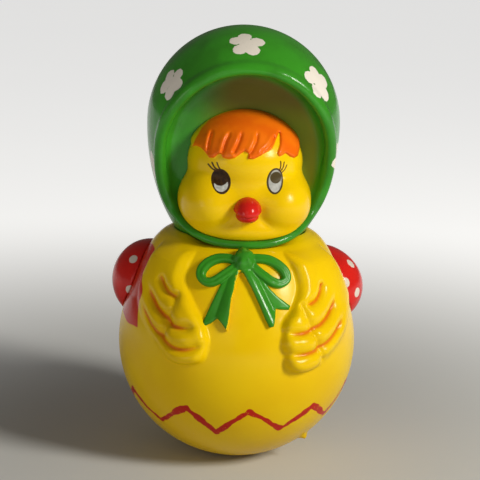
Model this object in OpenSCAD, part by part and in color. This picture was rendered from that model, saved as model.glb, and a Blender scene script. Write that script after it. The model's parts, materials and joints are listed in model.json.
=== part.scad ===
// Roly-poly chime toy: a chick in a bonnet on a weighted round base.
// Frame: +Z up, the chick faces -Y, +X is on the right when it is seen from the front.
// Origin: centre of the small flat under the base. Units: millimetres.

/* [Body] */
// Radius of the round rocking base
body_r = 45; // [40:0.5:50]
// Radius of the small flat that the toy comes to rest on
foot_r = 8.4; // [7.6:0.1:10]
// Wall thickness of the moulded shells
wall = 1.6; // [1.2:0.1:2.2]
// Height of the shoulder ring that carries the head
neck_z = 85; // [84:0.5:87]
// Radius of the shoulder ring
neck_r = 27.2; // [26:0.2:28]
// Radius of the opening in the top of the body
neck_bore_r = 21; // [19:0.5:22]
// Depth of the lip that joins the rear shell to the front shell
seam_lip = 3; // [2:0.5:5]

/* [Head] */
// Radius of the crown of the bonnet
crown_r = 35.8; // [34:0.2:38]
// Height of the widest part of the bonnet
crown_z = 127.2; // [125:0.2:130]
// Vertical half-axis of the bonnet below its widest part
jaw_h = 55; // [54:0.5:58]
// Radius of the face opening
face_open_r = 30.5; // [28:0.5:32]
// Height of the centre of the face opening
face_open_z = 118.4; // [118:0.2:120]
// Thickness of the bonnet's edge round the face
lip_t = 4; // [3:0.25:4.5]
// Radius of the forehead
forehead_r = 23; // [21:0.5:24]
// Radius of the cheeks
cheek_r = 25.4; // [24:0.5:26.5]
// Depth of the face opening below its widest part
jaw_drop = 31; // [30:0.5:31.5]
// Depth of the wall behind the face, measured from the axis
face_wall_y = 8; // [5:0.5:12]

/* [Bow at the back] */
// Radius of the outer end of each loop
loop_r = 14; // [11:0.5:16]
// Distance of each loop's end from the middle
loop_x = 33; // [30:0.5:35]
// Height of the loops
loop_z = 64; // [58:1:68]

/* [Ballast] */
// Radius of the top face of the iron weight
ballast_top_r = 33; // [28:0.5:35]
// Gap between the weight and the shell
ballast_gap = 0.4; // [0.3:0.1:1]
// Shank radius of the screw that holds the weight
ballast_screw_r = 2; // [1.5:0.25:3]

/* [Chime] */
// Number of places round the plate where the clapper meets a pair of rods
rod_pairs = 4; // [2:1:4]
// Radius of a chime rod
rod_r = 1.2; // [0.8:0.1:1.5]
// Radius of the circle that the rods stand on
rod_circle_r = 19; // [18.5:0.5:22]
// Angle between the two rods of a pair, from the pair's middle
rod_half_angle = 10; // [9:0.5:14]
// Length of the longest rod above the plate
rod_max_l = 40; // [34:1:42]
// Length that each next rod is shorter by
rod_step = 1.7; // [0.5:0.1:2]
// Height of the pivot that the clapper swings from
pivot_z = 70; // [68:0.5:71]
// Distance from the pivot down to the middle of the clapper's head
clapper_l = 29; // [27:0.5:31]
// Radius of the clapper's head
clapper_r = 9.7; // [8:0.1:9.8]
// Radius of the two pivot pins
pin_r = 1; // [0.8:0.1:1.2]

/* [Hidden] */
$fn = 64;
e = 0.01;
run = 0.05;                                     // radial clearance of a pin in its hole
foot_h = body_r - sqrt(body_r * body_r - foot_r * foot_r);
body_z = body_r - foot_h;                       // height of the middle of the round base
in_r = body_r - wall;
arc_top = 18;                                   // the base is a true sphere up to here, above its middle
arc_r = sqrt(body_r * body_r - arc_top * arc_top);
sh = neck_z - body_z;
pocket_r = 7.5;                                 // screw pocket under the base
pocket_h = 3;
boss_top = pocket_h + 1.6;
ballast_bot = boss_top + 0.1;
ballast_r = in_r - ballast_gap;
ballast_top = body_z - sqrt(ballast_r * ballast_r - ballast_top_r * ballast_top_r);
plate_z = ballast_top + 0.1;
plate_t = 2;
plate_r = 29;
rod_z0 = plate_z + plate_t;
leg_x = 25.9;                                   // middle of the bracket's legs
strap_t = 1.5;
bar_z = pivot_z + 5.2;                          // underside of the bracket's bar
clap_z = pivot_z - clapper_l;
pin2_z = pivot_z - 6;                           // the second pivot, square to the first
forehead_y = -6.5;
forehead_z = 113;
cheek_y = -5;
cheek_z = 103;
chin_z = neck_z + 1.7;

// ---------- profiles ----------

// Cubic curve of the shoulders, from the sphere to the neck, as [radius, height above the middle].
b0 = [arc_r, arc_top];
b1 = [arc_r - 2.9, arc_top + 8];
b2 = [neck_r + 8, sh - 2.8];
b3 = [neck_r, sh];
function bez(t) = pow(1 - t, 3) * b0 + 3 * pow(1 - t, 2) * t * b1 + 3 * (1 - t) * t * t * b2 + t * t * t * b3;
function dbez(t) = 3 * pow(1 - t, 2) * (b1 - b0) + 6 * (1 - t) * t * (b2 - b1) + 3 * t * t * (b3 - b2);
function inward(t, w) = let (d = dbez(t), n = norm(d)) bez(t) - w * [d[1], -d[0]] / n;

// Outline of the body, w inside its outer surface.
function body_points(w, foot) = let (r = body_r - w, a0 = acos((body_z - foot) / r), a1 = 90 + asin(arc_top / body_r))
    concat([[0, foot]],
        [for (i = [0:24]) let (a = a0 + (a1 - a0) * i / 24) [r * sin(a), body_z - r * cos(a)]],
        [for (i = [1:9]) let (p = inward(i / 10, w)) [p[0], body_z + p[1]]],
        [[neck_r - w, neck_z - w], [0, neck_z - w]]);

module body_solid(w = 0, foot = 0) {
    rotate_extrude($fn = 128) polygon(body_points(w, foot));
}

// Outline of the bonnet, w inside its outer surface: a round crown over a longer jaw.
function bonnet_points(w, low) = let (r = crown_r - w, h = jaw_h - w, a1 = asin((crown_z - low) / h))
    concat([[0, crown_z + r]],
        [for (i = [1:14]) let (a = 90 * i / 14) [r * sin(a), crown_z + r * cos(a)]],
        [for (i = [1:12]) let (a = a1 * i / 12) [r * cos(a), crown_z - h * sin(a)]],
        [[0, low]]);

module bonnet_solid(w = 0, low = neck_z) {
    rotate_extrude($fn = 128) polygon(bonnet_points(w, low));
}

module front_half(y = 0) { translate([-80, -160 + y, -10]) cube([160, 160, 200]); }
module rear_half(y = 0) { translate([-80, y, -10]) cube([160, 160, 200]); }

// ---------- body ----------

// Hollow body with the screw pocket, the neck opening and the hole for the weight's screw.
module body_hollow() {
    difference() {
        union() {
            difference() {
                body_solid();
                body_solid(wall, wall);
            }
            cylinder(r = pocket_r + wall, h = boss_top);
        }
        translate([0, 0, -1]) cylinder(r = pocket_r + run, h = pocket_h + 1);
        translate([0, 0, -1]) cylinder(r = ballast_screw_r + 0.2, h = 10);
        translate([0, 0, neck_z - 5]) cylinder(r = neck_bore_r, h = 10);
    }
}

module ball(p, r) { translate(p) sphere(r = r, $fn = 22); }

// One wing, folded against the front of the body, with three feather tips.
module wing() {
    hull() { ball([23, -19, 78], 5.5); ball([27, -24, 66], 8); }
    hull() { ball([27, -24, 66], 8); ball([24, -31, 55], 8.6); ball([22, -34, 47], 8); }
    hull() { ball([13, -39, 53], 3.6); ball([25, -33, 50], 5); ball([15, -39.5, 43], 3.6); ball([24, -34, 42], 4); }
}

module body_front_shell() color("gold") {
    union() {
        intersection() {
            body_hollow();
            front_half(-0.02);
        }
        difference() {
            union() {
                wing();
                mirror([1, 0, 0]) wing();
            }
            body_solid(wall / 2, wall);
        }
    }
}

// The rear shell carries the lip that lies inside the front shell along the seam.
module body_rear_shell() color("gold") {
    union() {
        intersection() {
            body_hollow();
            rear_half(0.02);
        }
        intersection() {
            difference() {
                body_solid(wall + 0.15, boss_top + 1);
                body_solid(wall + 1.25, boss_top + 1);
                translate([0, 0, neck_z - 9]) cylinder(r = 40, h = 20);
                cylinder(r = ballast_top_r + 3, h = ballast_top + 2);
            }
            translate([-80, -seam_lip, 0]) cube([160, seam_lip + 0.02 + e, 120]);
        }
        intersection() {
            difference() {
                body_solid(wall - 0.5, boss_top + 1);
                body_solid(wall + 1.25, boss_top + 1);
                translate([0, 0, neck_z - 9]) cylinder(r = 40, h = 20);
                cylinder(r = ballast_top_r + 3, h = ballast_top + 2);
            }
            translate([-80, 0.02, 0]) cube([160, 2.5, 120]);
        }
    }
}

// Closes the screw pocket, flush with the foot.
module base_plug() color("gold") {
    cylinder(r = pocket_r, h = 0.8);
}

// ---------- head ----------

// Outline of the face opening, g larger all round: a half circle over a fuller, squarer jaw.
function power(v, n) = (v < 0 ? -1 : 1) * pow(abs(v), 2 / n);
function opening(g) = [for (a = [0:6:354])
    [(face_open_r + g) * power(cos(a), a <= 180 ? 2 : 3), (sin(a) < 0 ? jaw_drop + g : face_open_r + g) * power(sin(a), a <= 180 ? 2 : 3)]];
module face_tube(g) { translate([0, 0, face_open_z]) rotate([90, 0, 0]) linear_extrude(60) polygon(opening(g)); }

// Hollow bonnet with a thick edge round the face and a spigot that plugs into the body.
module bonnet_hollow() {
    difference() {
        union() {
            difference() {
                bonnet_solid();
                bonnet_solid(wall, neck_z + wall);
            }
            intersection() {
                difference() {
                    bonnet_solid();
                    bonnet_solid(lip_t, neck_z + 2);
                }
                intersection() {
                    face_tube(3);
                    front_half(-face_wall_y - 1.6);
                }
            }
            translate([0, 0, neck_z - 6]) cylinder(r = neck_bore_r - 0.1, h = 6 + wall);
        }
        translate([0, 0, neck_z - 7]) cylinder(r = neck_bore_r - 1.7, h = 12);
        face_tube(0);
    }
}

module bonnet_front_shell() color("forestgreen") {
    intersection() {
        bonnet_hollow();
        front_half(-0.02);
    }
}

// The rear half carries the lip that lies inside the front half along the seam.
module bonnet_rear_shell() color("forestgreen") {
    union() {
        intersection() {
            bonnet_hollow();
            rear_half(0.02);
        }
        intersection() {
            difference() {
                bonnet_solid(wall + 0.15, neck_z + 6);
                bonnet_solid(wall + 1.25, neck_z + 6 - e);
            }
            translate([-80, -seam_lip, neck_z + 6]) cube([160, seam_lip + 0.02 + e, 100]);
        }
        intersection() {
            difference() {
                bonnet_solid(wall - 0.5, neck_z + 6);
                bonnet_solid(wall + 1.25, neck_z + 6 - e);
            }
            translate([-80, 0.02, neck_z + 6]) cube([160, 2.5, 100]);
        }
    }
}

// Forehead and cheeks, w inside the surface of the face.
module skull(w = 0) {
    translate([0, forehead_y, forehead_z]) sphere(r = forehead_r - w, $fn = 96);
    translate([0, cheek_y, cheek_z]) sphere(r = cheek_r - w, $fn = 96);
}

// Face moulding with its fringe and bill, on a flat wall that closes the bonnet.
module face_shell() color("gold") {
    difference() {
        union() {
            intersection() {
                skull();
                face_tube(-0.4);
                translate([-40, -60, chin_z]) cube([80, 60 - face_wall_y, 60]);
            }
            intersection() {
                bonnet_solid(wall + 0.1, neck_z + wall + 0.1);
                translate([-60, -face_wall_y - 1.5, 0]) cube([120, 1.5, 200]);
            }
            difference() {
                intersection() {
                    translate([0, forehead_y, forehead_z]) sphere(r = forehead_r + 1, $fn = 96);
                    translate([-40, -60, forehead_z + 5]) cube([80, 58 - face_wall_y, 30]);
                }
                for (x = [-17, -11.5, -6, -0.5, 5, 10.5, 16])
                    translate([x, 0, forehead_z + 5]) rotate([90, 0, 0]) linear_extrude(60)
                        polygon([[-2.7, -1], [2.7, -1], [0.8, 6.2], [-0.4, 5.6]]);
            }
            translate([1.2, cheek_y - cheek_r - 0.5, 99.5]) sphere(r = 4.8);
        }
        intersection() {
            skull(wall);
            translate([-40, -60, chin_z + wall]) cube([80, 80, 60]);
        }
        translate([-6, cheek_y - cheek_r - 8, 97.6]) cube([14, 5, 0.5]);
    }
}

// Snap ring that keeps the bonnet's spigot in the neck, from inside.
module neck_ring() color("gold") translate([0, 0, neck_z - wall - 3]) difference() {
    cylinder(r = neck_bore_r + 2.5, h = 2.9);
    translate([0, 0, -1]) cylinder(r = neck_bore_r - 0.05, h = 5);
}

// ---------- bow under the chin ----------

// Round cord through the points pts.
function aim(v) = [0, acos(v[2] / norm(v)), atan2(v[1], v[0])];
module chain(pts, r) {
    for (i = [0:len(pts) - 2]) {
        translate(pts[i]) rotate(aim(pts[i + 1] - pts[i])) cylinder(r = r, h = norm(pts[i + 1] - pts[i]), $fn = 20);
        translate(pts[i + 1]) sphere(r = r + 0.02, $fn = 20);
    }
}

module chin_bow() color("forestgreen") difference() { union() {
    translate([0.5, -32, 83]) sphere(r = 4.2, $fn = 24);
    chain([[-1, -32, 83], [-5, -33.6, 84], [-12, -32.4, 84], [-15.8, -33, 79.5], [-12, -36, 75.5], [-1, -35, 81]], 1.6);
    chain([[1, -32, 83], [5, -33.4, 83.5], [13, -32.6, 82.5], [18, -33.4, 77.5], [14, -36.4, 74.5], [1, -35, 81]], 1.6);
    hull() { ball([-1.5, -34.5, 81], 1.5); ball([-13.5, -40.6, 60.5], 1.2); ball([-6, -42.3, 59], 1.2); }
    hull() { ball([1.5, -34.5, 81], 1.5); ball([11, -41.3, 60], 1.2); ball([18.4, -37.4, 65.5], 1.2); }
    }
    body_solid(-0.03);
    bonnet_solid(-0.03);
    translate([-20, -60, 90]) cube([40, 60, 20]);
}

// ---------- bow on the back ----------

// One hollow loop, from its round outer end at the side to the knot.
module back_loop(w) {
    hull() {
        translate([loop_x, 13, loop_z]) sphere(r = loop_r - w, $fn = 32);
        translate([22, 33, loop_z - 1]) sphere(r = 11.5 - w, $fn = 28);
        translate([5, 43.5, loop_z - 2]) sphere(r = 5 - w, $fn = 20);
    }
}
module back_bow() color("crimson") difference() {
    union() {
        for (s = [0, 1]) mirror([s, 0, 0]) difference() {
            back_loop(0);
            back_loop(wall);
        }
        hull() {
            translate([0, 45.5, loop_z + 1]) sphere(r = 6, $fn = 24);
            translate([0, 45.5, loop_z - 6]) sphere(r = 6, $fn = 24);
        }
        for (s = [-1, 1]) hull() {
            translate([s * 2, 45, loop_z - 8]) sphere(r = 2, $fn = 16);
            translate([s * 7, 43.5, loop_z - 31]) sphere(r = 1.8, $fn = 16);
            translate([s * 16, 40.5, loop_z - 27]) sphere(r = 1.8, $fn = 16);
        }
    }
    body_solid(-0.03, 0);
}

// ---------- ballast ----------

module ballast_weight() color("dimgray") difference() {
    intersection() {
        translate([0, 0, body_z]) sphere(r = ballast_r, $fn = 128);
        translate([0, 0, ballast_bot]) cylinder(r = 50, h = ballast_top - ballast_bot);
    }
    translate([0, 0, -1]) cylinder(r = ballast_screw_r + run, h = 14);
    for (a = [45:90:359]) rotate(a) translate([plate_r - 5.5, 0, ballast_top - 6]) cylinder(r = 1.25, h = 10);
}

module ballast_screw() color("silver") {
    translate([0, 0, 1.2]) difference() {
        cylinder(r = 3.5, h = 1.1);
        translate([-0.5, -4, -e]) cube([1, 8, 0.6]);
    }
    translate([0, 0, 2.2]) cylinder(r = ballast_screw_r, h = 9);
}
module ballast_washer() color("silver") translate([0, 0, 2.3 + e]) difference() {
    cylinder(r = 5, h = 0.65);
    translate([0, 0, -1]) cylinder(r = ballast_screw_r + 0.1, h = 3);
}

// ---------- chime ----------

module chime_plate() color("silver") translate([0, 0, plate_z]) difference() {
    cylinder(r = plate_r, h = plate_t);
    for (a = [45:90:359]) rotate(a) translate([plate_r - 5.5, 0, -1]) cylinder(r = 1.3, h = 5);
    for (k = [0:rod_pairs * 2 - 1]) rotate(rod_angle(k)) translate([rod_circle_r, 0, -1]) cylinder(r = rod_r + 0.01, h = 5, $fn = 32);
}
// Round-headed screws that hold the plate down, two of them through the bracket's feet.
module plate_screw(z) translate([plate_r - 5.5, 0, z]) {
    cylinder(r = 2.4, h = 1.4, $fn = 32);
    translate([0, 0, -5]) cylinder(r = 1.2, h = 5.2, $fn = 32);
}
module chime_plate_screws() color("silver") for (a = [135, 315]) rotate(a) plate_screw(plate_z + plate_t + 0.05);
module hanger_bracket_screws() color("silver") for (a = [45, 225]) rotate(a) plate_screw(plate_z + plate_t + strap_t + 0.1);

// Soft disc in the middle of the plate that keeps the clapper from ringing on it.
module damping_pad() color("firebrick") translate([0, 0, plate_z + plate_t]) cylinder(r = 9, h = 2);

// Rod k stands beside pair k / 2, and each is a little shorter than the one before.
function rod_angle(k) = floor(k / 2) * 360 / rod_pairs + (k % 2 == 0 ? -1 : 1) * rod_half_angle;
module chime_rod(k) color("silver") rotate(rod_angle(k)) translate([rod_circle_r, 0, plate_z + 0.1])
    cylinder(r = rod_r, h = rod_max_l - k * rod_step + plate_t, $fn = 32);
module chime_rod_1() chime_rod(0);
module chime_rod_2() chime_rod(1);
module chime_rod_3() chime_rod(2);
module chime_rod_4() chime_rod(3);
module chime_rod_5() chime_rod(4);
module chime_rod_6() chime_rod(5);
module chime_rod_7() chime_rod(6);
module chime_rod_8() chime_rod(7);

// Bent strap over the rods, with turned-out feet.
module hanger_bracket() color("silver") rotate(45) difference() {
    union() {
        for (s = [-1, 1]) {
            translate([s * (leg_x + 1.6) - strap_t / 2, -3, rod_z0]) cube([strap_t, 6, bar_z + strap_t - rod_z0]);
            translate([s > 0 ? leg_x - 5.6 : -leg_x - 2.3, -3, rod_z0]) cube([7.9, 6, strap_t]);
        }
        translate([-leg_x - 2.3, -3, bar_z]) cube([2 * leg_x + 4.6, 6, strap_t]);
    }
    for (s = [-1, 1]) translate([s * (plate_r - 5.5), 0, rod_z0 - 1]) cylinder(r = 1.3, h = 4, $fn = 32);
    translate([0, 0, bar_z - 1]) cylinder(r = 1.3, h = 4, $fn = 32);
}

// Clevis under the bar, riveted through it, that holds the first pin.
module pivot_lug() color("silver") {
    difference() {
        union() {
            for (s = [-1, 1]) translate([s * 3.1 - 0.6, -2.5, pivot_z - 2.2]) cube([1.2, 5, 7.2 - 0.05]);
            translate([-3.7, -2.5, pivot_z + 3.9]) cube([7.4, 5, 1.2]);
        }
        translate([-8, 0, pivot_z]) rotate([0, 90, 0]) cylinder(r = pin_r + 0.01, h = 16, $fn = 32);
    }
    translate([0, 0, pivot_z + 5]) cylinder(r = 1.2, h = 2.9, $fn = 32);
    translate([0, 0, bar_z + strap_t + 0.05]) cylinder(r = 2, h = 0.9, $fn = 32);
}

module pivot_pin() color("silver") translate([-4.6, 0, pivot_z]) rotate([0, 90, 0]) {
    cylinder(r = pin_r, h = 9, $fn = 32);
    translate([0, 0, -0.6]) cylinder(r = pin_r + 0.7, h = 0.7, $fn = 32);
}

// Flat link with a hole each way, so that the clapper swings in any direction.
module swing_link() color("silver") difference() {
    union() {
        translate([-1.5, 0, pivot_z]) rotate([0, 90, 0]) cylinder(r = 2.1, h = 3, $fn = 32);
        translate([-1.5, -1.5, pin2_z + 0.5]) cube([3, 3, 5.5]);
        translate([0, 1.5, pin2_z]) rotate([90, 0, 0]) cylinder(r = 2.1, h = 3, $fn = 32);
    }
    translate([-4, 0, pivot_z]) rotate([0, 90, 0]) cylinder(r = pin_r + run, h = 8, $fn = 32);
    translate([0, 4, pin2_z]) rotate([90, 0, 0]) cylinder(r = pin_r + run, h = 8, $fn = 32);
}

module clapper_pin() color("silver") translate([0, 4.2, pin2_z]) rotate([90, 0, 0]) {
    cylinder(r = pin_r, h = 8.2, $fn = 32);
    translate([0, 0, -0.6]) cylinder(r = pin_r + 0.7, h = 0.7, $fn = 32);
}

// Stem with a clevis at the top and a threaded end below.
module clapper_stem() color("silver") {
    difference() {
        union() {
            for (s = [-1, 1]) translate([-2.2, s * 2.75 - 0.75, pin2_z - 5]) cube([4.4, 1.5, 7]);
            translate([-2.2, -3.5, pin2_z - 5.6]) cube([4.4, 7, 1.6]);
        }
        translate([0, 8, pin2_z]) rotate([90, 0, 0]) cylinder(r = pin_r + 0.01, h = 16, $fn = 32);
    }
    translate([0, 0, clap_z - 6.5]) cylinder(r = 1.4, h = pin2_z - 5.2 - clap_z + 6.5, $fn = 32);
    translate([0, 0, clap_z + 3.3]) cylinder(r = 2.4, h = 0.8, $fn = 32);
}

// Turned brass head with a round rim, where it meets the rods.
module clapper_head() color("goldenrod") translate([0, 0, clap_z]) difference() {
    rotate_extrude($fn = 96) polygon(concat([[0, -3.2], [clapper_r - 3.2, -3.2]],
        [for (i = [1:7]) [clapper_r - 3.2 + 3.2 * sin(i * 22.5), -3.2 * cos(i * 22.5)]],
        [[clapper_r - 3.2, 3.2], [0, 3.2]]));
    translate([0, 0, -5]) cylinder(r = 1.45, h = 10, $fn = 32);
}
module clapper_nut() color("silver") translate([0, 0, clap_z - 5.6]) difference() {
    cylinder(r = 2.9, h = 2.3, $fn = 6);
    translate([0, 0, -1]) cylinder(r = 1.41, h = 5, $fn = 32);
}

body_front_shell();
body_rear_shell();
base_plug();
bonnet_front_shell();
bonnet_rear_shell();
face_shell();
neck_ring();
chin_bow();
back_bow();
ballast_weight();
ballast_screw();
ballast_washer();
chime_plate();
chime_plate_screws();
damping_pad();
chime_rod_1();
chime_rod_2();
chime_rod_3();
chime_rod_4();
chime_rod_5();
chime_rod_6();
chime_rod_7();
chime_rod_8();
hanger_bracket();
hanger_bracket_screws();
pivot_lug();
pivot_pin();
swing_link();
clapper_pin();
clapper_stem();
clapper_head();
clapper_nut();
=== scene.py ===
import json
import math
import bpy
import numpy as np
import openvdb
from mathutils import Matrix, Vector
from mathutils.geometry import tessellate_polygon


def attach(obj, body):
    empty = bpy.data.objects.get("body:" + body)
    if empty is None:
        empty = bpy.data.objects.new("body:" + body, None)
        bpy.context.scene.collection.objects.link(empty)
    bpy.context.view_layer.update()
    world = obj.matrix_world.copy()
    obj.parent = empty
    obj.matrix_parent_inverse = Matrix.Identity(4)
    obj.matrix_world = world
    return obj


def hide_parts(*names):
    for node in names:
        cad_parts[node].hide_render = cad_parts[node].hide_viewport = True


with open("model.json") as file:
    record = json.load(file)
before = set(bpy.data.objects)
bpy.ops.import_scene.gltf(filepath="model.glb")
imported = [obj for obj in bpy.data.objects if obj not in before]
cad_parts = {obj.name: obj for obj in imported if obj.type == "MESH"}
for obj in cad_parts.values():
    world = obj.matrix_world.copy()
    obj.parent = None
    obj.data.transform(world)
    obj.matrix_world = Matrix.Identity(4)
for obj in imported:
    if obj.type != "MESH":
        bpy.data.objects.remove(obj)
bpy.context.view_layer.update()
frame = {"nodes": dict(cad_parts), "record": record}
MM = 0.001
rng = np.random.default_rng(7)

# ---------------------------------------------------------------- helpers


def smooth(x):
    x = np.clip(x, 0, 1)
    return x * x * (3 - 2 * x)


def smin(a, b, k):
    h = np.clip(0.5 + 0.5 * (b - a) / k, 0, 1)
    return b + (a - b) * h - k * h * (1 - h)


def smax(a, b, k):
    return -smin(-a, -b, k)


def poly_sd(px, py, poly, closed=True):
    """Signed distance (negative inside) to a closed polygon, or plain distance to an open line."""
    poly = np.asarray(poly, float)
    n = len(poly)
    d2 = np.full(px.shape, 1e9)
    inside = np.zeros(px.shape, bool)
    for i in range(n if closed else n - 1):
        a, b = poly[i], poly[(i + 1) % n]
        ex, ey = b - a
        wx, wy = px - a[0], py - a[1]
        t = np.clip((wx * ex + wy * ey) / max(ex * ex + ey * ey, 1e-9), 0, 1)
        d2 = np.minimum(d2, (wx - ex * t) ** 2 + (wy - ey * t) ** 2)
        if closed and abs(ey) > 1e-9:
            c = ((a[1] <= py) != (b[1] <= py)) & (px < a[0] + ex * (py - a[1]) / ey)
            inside ^= c
    d = np.sqrt(d2)
    return np.where(inside, -d, d) if closed else d


def spline(pts, n, closed=False):
    """Catmull-Rom curve through pts, n samples a span."""
    p = np.asarray(pts, float)
    m = len(p)
    out = []
    for i in range(m if closed else m - 1):
        g = [p[(i + j) % m] if closed else p[min(max(i + j, 0), m - 1)] for j in (-1, 0, 1, 2)]
        for t in np.arange(n) / n:
            out.append(0.5 * (2 * g[1] + (g[2] - g[0]) * t + (2 * g[0] - 5 * g[1] + 4 * g[2] - g[3]) * t * t
                              + (3 * g[1] - g[0] - 3 * g[2] + g[3]) * t ** 3))
    if not closed:
        out.append(p[-1])
    return np.array(out)


def value_noise(P, scale, seed=0):
    """Smooth repeatable noise in about -1..1 from a few sines."""
    r = np.random.default_rng(seed)
    out = np.zeros(len(P))
    for _ in range(6):
        k = r.normal(size=3) / scale * 1.6
        out += np.sin(P @ k + r.uniform(0, 6.28))
    return out / 6


def make(name, V, faces, body="shell", attrs=None, replaces=()):
    me = bpy.data.meshes.new(name)
    V = np.ascontiguousarray(np.asarray(V, np.float64) * MM, np.float32)
    faces = [np.asarray(f, np.int32) for f in faces if len(f)]
    loops = np.concatenate([f.ravel() for f in faces])
    tot = np.concatenate([np.full(len(f), f.shape[1], np.int32) for f in faces])
    start = np.concatenate([[0], np.cumsum(tot)[:-1]]).astype(np.int32)
    me.vertices.add(len(V))
    me.vertices.foreach_set("co", V.ravel())
    me.loops.add(len(loops))
    me.loops.foreach_set("vertex_index", loops)
    me.polygons.add(len(tot))
    me.polygons.foreach_set("loop_start", start)
    me.update(calc_edges=True)
    me.polygons.foreach_set("use_smooth", np.ones(len(tot), bool))
    for k, v in (attrs or {}).items():
        a = me.attributes.new(k, "FLOAT", "POINT")
        a.data.foreach_set("value", np.asarray(v, np.float32))
    me.validate()
    ob = bpy.data.objects.new(name, me)
    bpy.context.scene.collection.objects.link(ob)
    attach(ob, body)
    if replaces:
        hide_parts(*replaces)
    return ob


def mesh_field(f, lo, hi, h, steps=3):
    """Closed mesh of f = 0, its points moved onto the true surface."""
    lo, hi = np.asarray(lo, float), np.asarray(hi, float)
    n = np.ceil((hi - lo) / h).astype(int) + 1
    ys = lo[1] + h * np.arange(n[1])
    zs = lo[2] + h * np.arange(n[2])
    Y, Z = np.meshgrid(ys, zs, indexing="ij")
    A = np.empty(n, np.float32)
    for i in range(n[0]):
        P = np.stack([np.full(Y.size, lo[0] + h * i), Y.ravel(), Z.ravel()], 1)
        A[i] = f(P).reshape(Y.shape)
    A = np.clip(A, -3 * h, 3 * h)
    g = openvdb.FloatGrid(float(3 * h))
    g.copyFromArray(A)
    V, Q = g.convertToQuads(0.0)
    V = V.astype(float) * h + lo
    Q = Q.astype(np.int64)
    a, b, c, d = (V[Q[:, i]] for i in range(4))
    vol = (np.einsum("ij,ij->i", a, np.cross(b, c)) + np.einsum("ij,ij->i", a, np.cross(c, d))).sum()
    if vol < 0:
        Q = Q[:, ::-1]
    e = 0.04
    for _ in range(steps):
        v = f(V)
        G = np.stack([(f(V + e * np.eye(3)[i]) - f(V - e * np.eye(3)[i])) / (2 * e) for i in range(3)], 1)
        g2 = np.maximum((G * G).sum(1), 0.15)
        step = -(v / g2)[:, None] * G
        ln = np.linalg.norm(step, axis=1, keepdims=True)
        V += step * np.minimum(1, 0.2 * h / np.maximum(ln, 1e-9))
    return V, Q


# ---------------------------------------------------------------- outlines (mm)

BODY_R, FOOT_R, NECK_Z, NECK_R, WALL = 45.0, 8.4, 85.0, 27.2, 1.6
BODY_Z = math.sqrt(BODY_R ** 2 - FOOT_R ** 2)
CR, CZ, JAW = 35.8, 127.2, 55.0


def bez(t):
    ar, at, sh = math.sqrt(BODY_R ** 2 - 18 ** 2), 18.0, NECK_Z - BODY_Z
    b = np.array([[ar, at], [ar - 2.9, at + 8], [NECK_R + 8, sh - 2.8], [NECK_R, sh]])
    t = np.asarray(t)[:, None]
    return (1 - t) ** 3 * b[0] + 3 * (1 - t) ** 2 * t * b[1] + 3 * (1 - t) * t * t * b[2] + t ** 3 * b[3]


a0, a1 = math.asin(FOOT_R / BODY_R), math.pi / 2 + math.asin(18 / BODY_R)
_a = np.linspace(a0, a1, 400)
_arc = np.stack([BODY_R * np.sin(_a), BODY_Z - BODY_R * np.cos(_a)], 1)
_b = bez(np.linspace(0, 1, 160)[1:]) + [0, BODY_Z]
PROF = np.concatenate([_arc, _b])                       # outer outline of the body, foot to neck
PS = np.concatenate([[0], np.cumsum(np.linalg.norm(np.diff(PROF, axis=0), axis=1))])
PT = np.gradient(PROF, axis=0)
PT /= np.linalg.norm(PT, axis=1, keepdims=True)
PN = np.stack([PT[:, 1], -PT[:, 0]], 1)                 # outward


def arc_of_z(z):
    return np.interp(z, PROF[:, 1], PS)


def r_of_z(z):
    return np.interp(z, PROF[:, 1], PROF[:, 0])


# nearest point of the outline for a grid of (r, z): height above the surface and arc length of its foot
_gr, _gz = np.arange(0, 62, 0.4), np.arange(-4, 96, 0.4)
_R, _Z = np.meshgrid(_gr, _gz, indexing="ij")
_q = np.stack([_R.ravel(), _Z.ravel()], 1)
_sub = PROF[::2]
_i = np.argmin(((_q[:, None, :] - _sub[None]) ** 2).sum(2), axis=1) * 2
_i = np.clip(_i, 0, len(PROF) - 1)
_dh = ((_q - PROF[_i]) * PN[_i]).sum(1)
_ds = PS[_i] + ((_q - PROF[_i]) * PT[_i]).sum(1)
GH, GS = _dh.reshape(_R.shape), _ds.reshape(_R.shape)


def grid_read(G, r, z):
    u = np.clip((r - _gr[0]) / 0.4, 0, len(_gr) - 1.001)
    v = np.clip((z - _gz[0]) / 0.4, 0, len(_gz) - 1.001)
    i, j = u.astype(int), v.astype(int)
    fu, fv = u - i, v - j
    return (G[i, j] * (1 - fu) * (1 - fv) + G[i + 1, j] * fu * (1 - fv) + G[i, j + 1] * (1 - fu) * fv + G[i + 1, j + 1] * fu * fv)


def body_coords(P):
    """Height above the body's surface, and the surface point's x and arc length."""
    r = np.hypot(P[:, 0], P[:, 1])
    h = grid_read(GH, r, P[:, 2])
    s = grid_read(GS, r, P[:, 2])
    rb = np.interp(s, PS, PROF[:, 0])
    return h, P[:, 0] * rb / np.maximum(r, 1e-6), s


# ---------------------------------------------------------------- wing relief

UREF = 42.0


def uv(pts):
    p = np.asarray(pts, float)
    return np.stack([UREF * np.arcsin(np.clip(p[:, 0] / r_of_z(p[:, 1]), -0.999, 0.999)), arc_of_z(p[:, 1])], 1)


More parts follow.
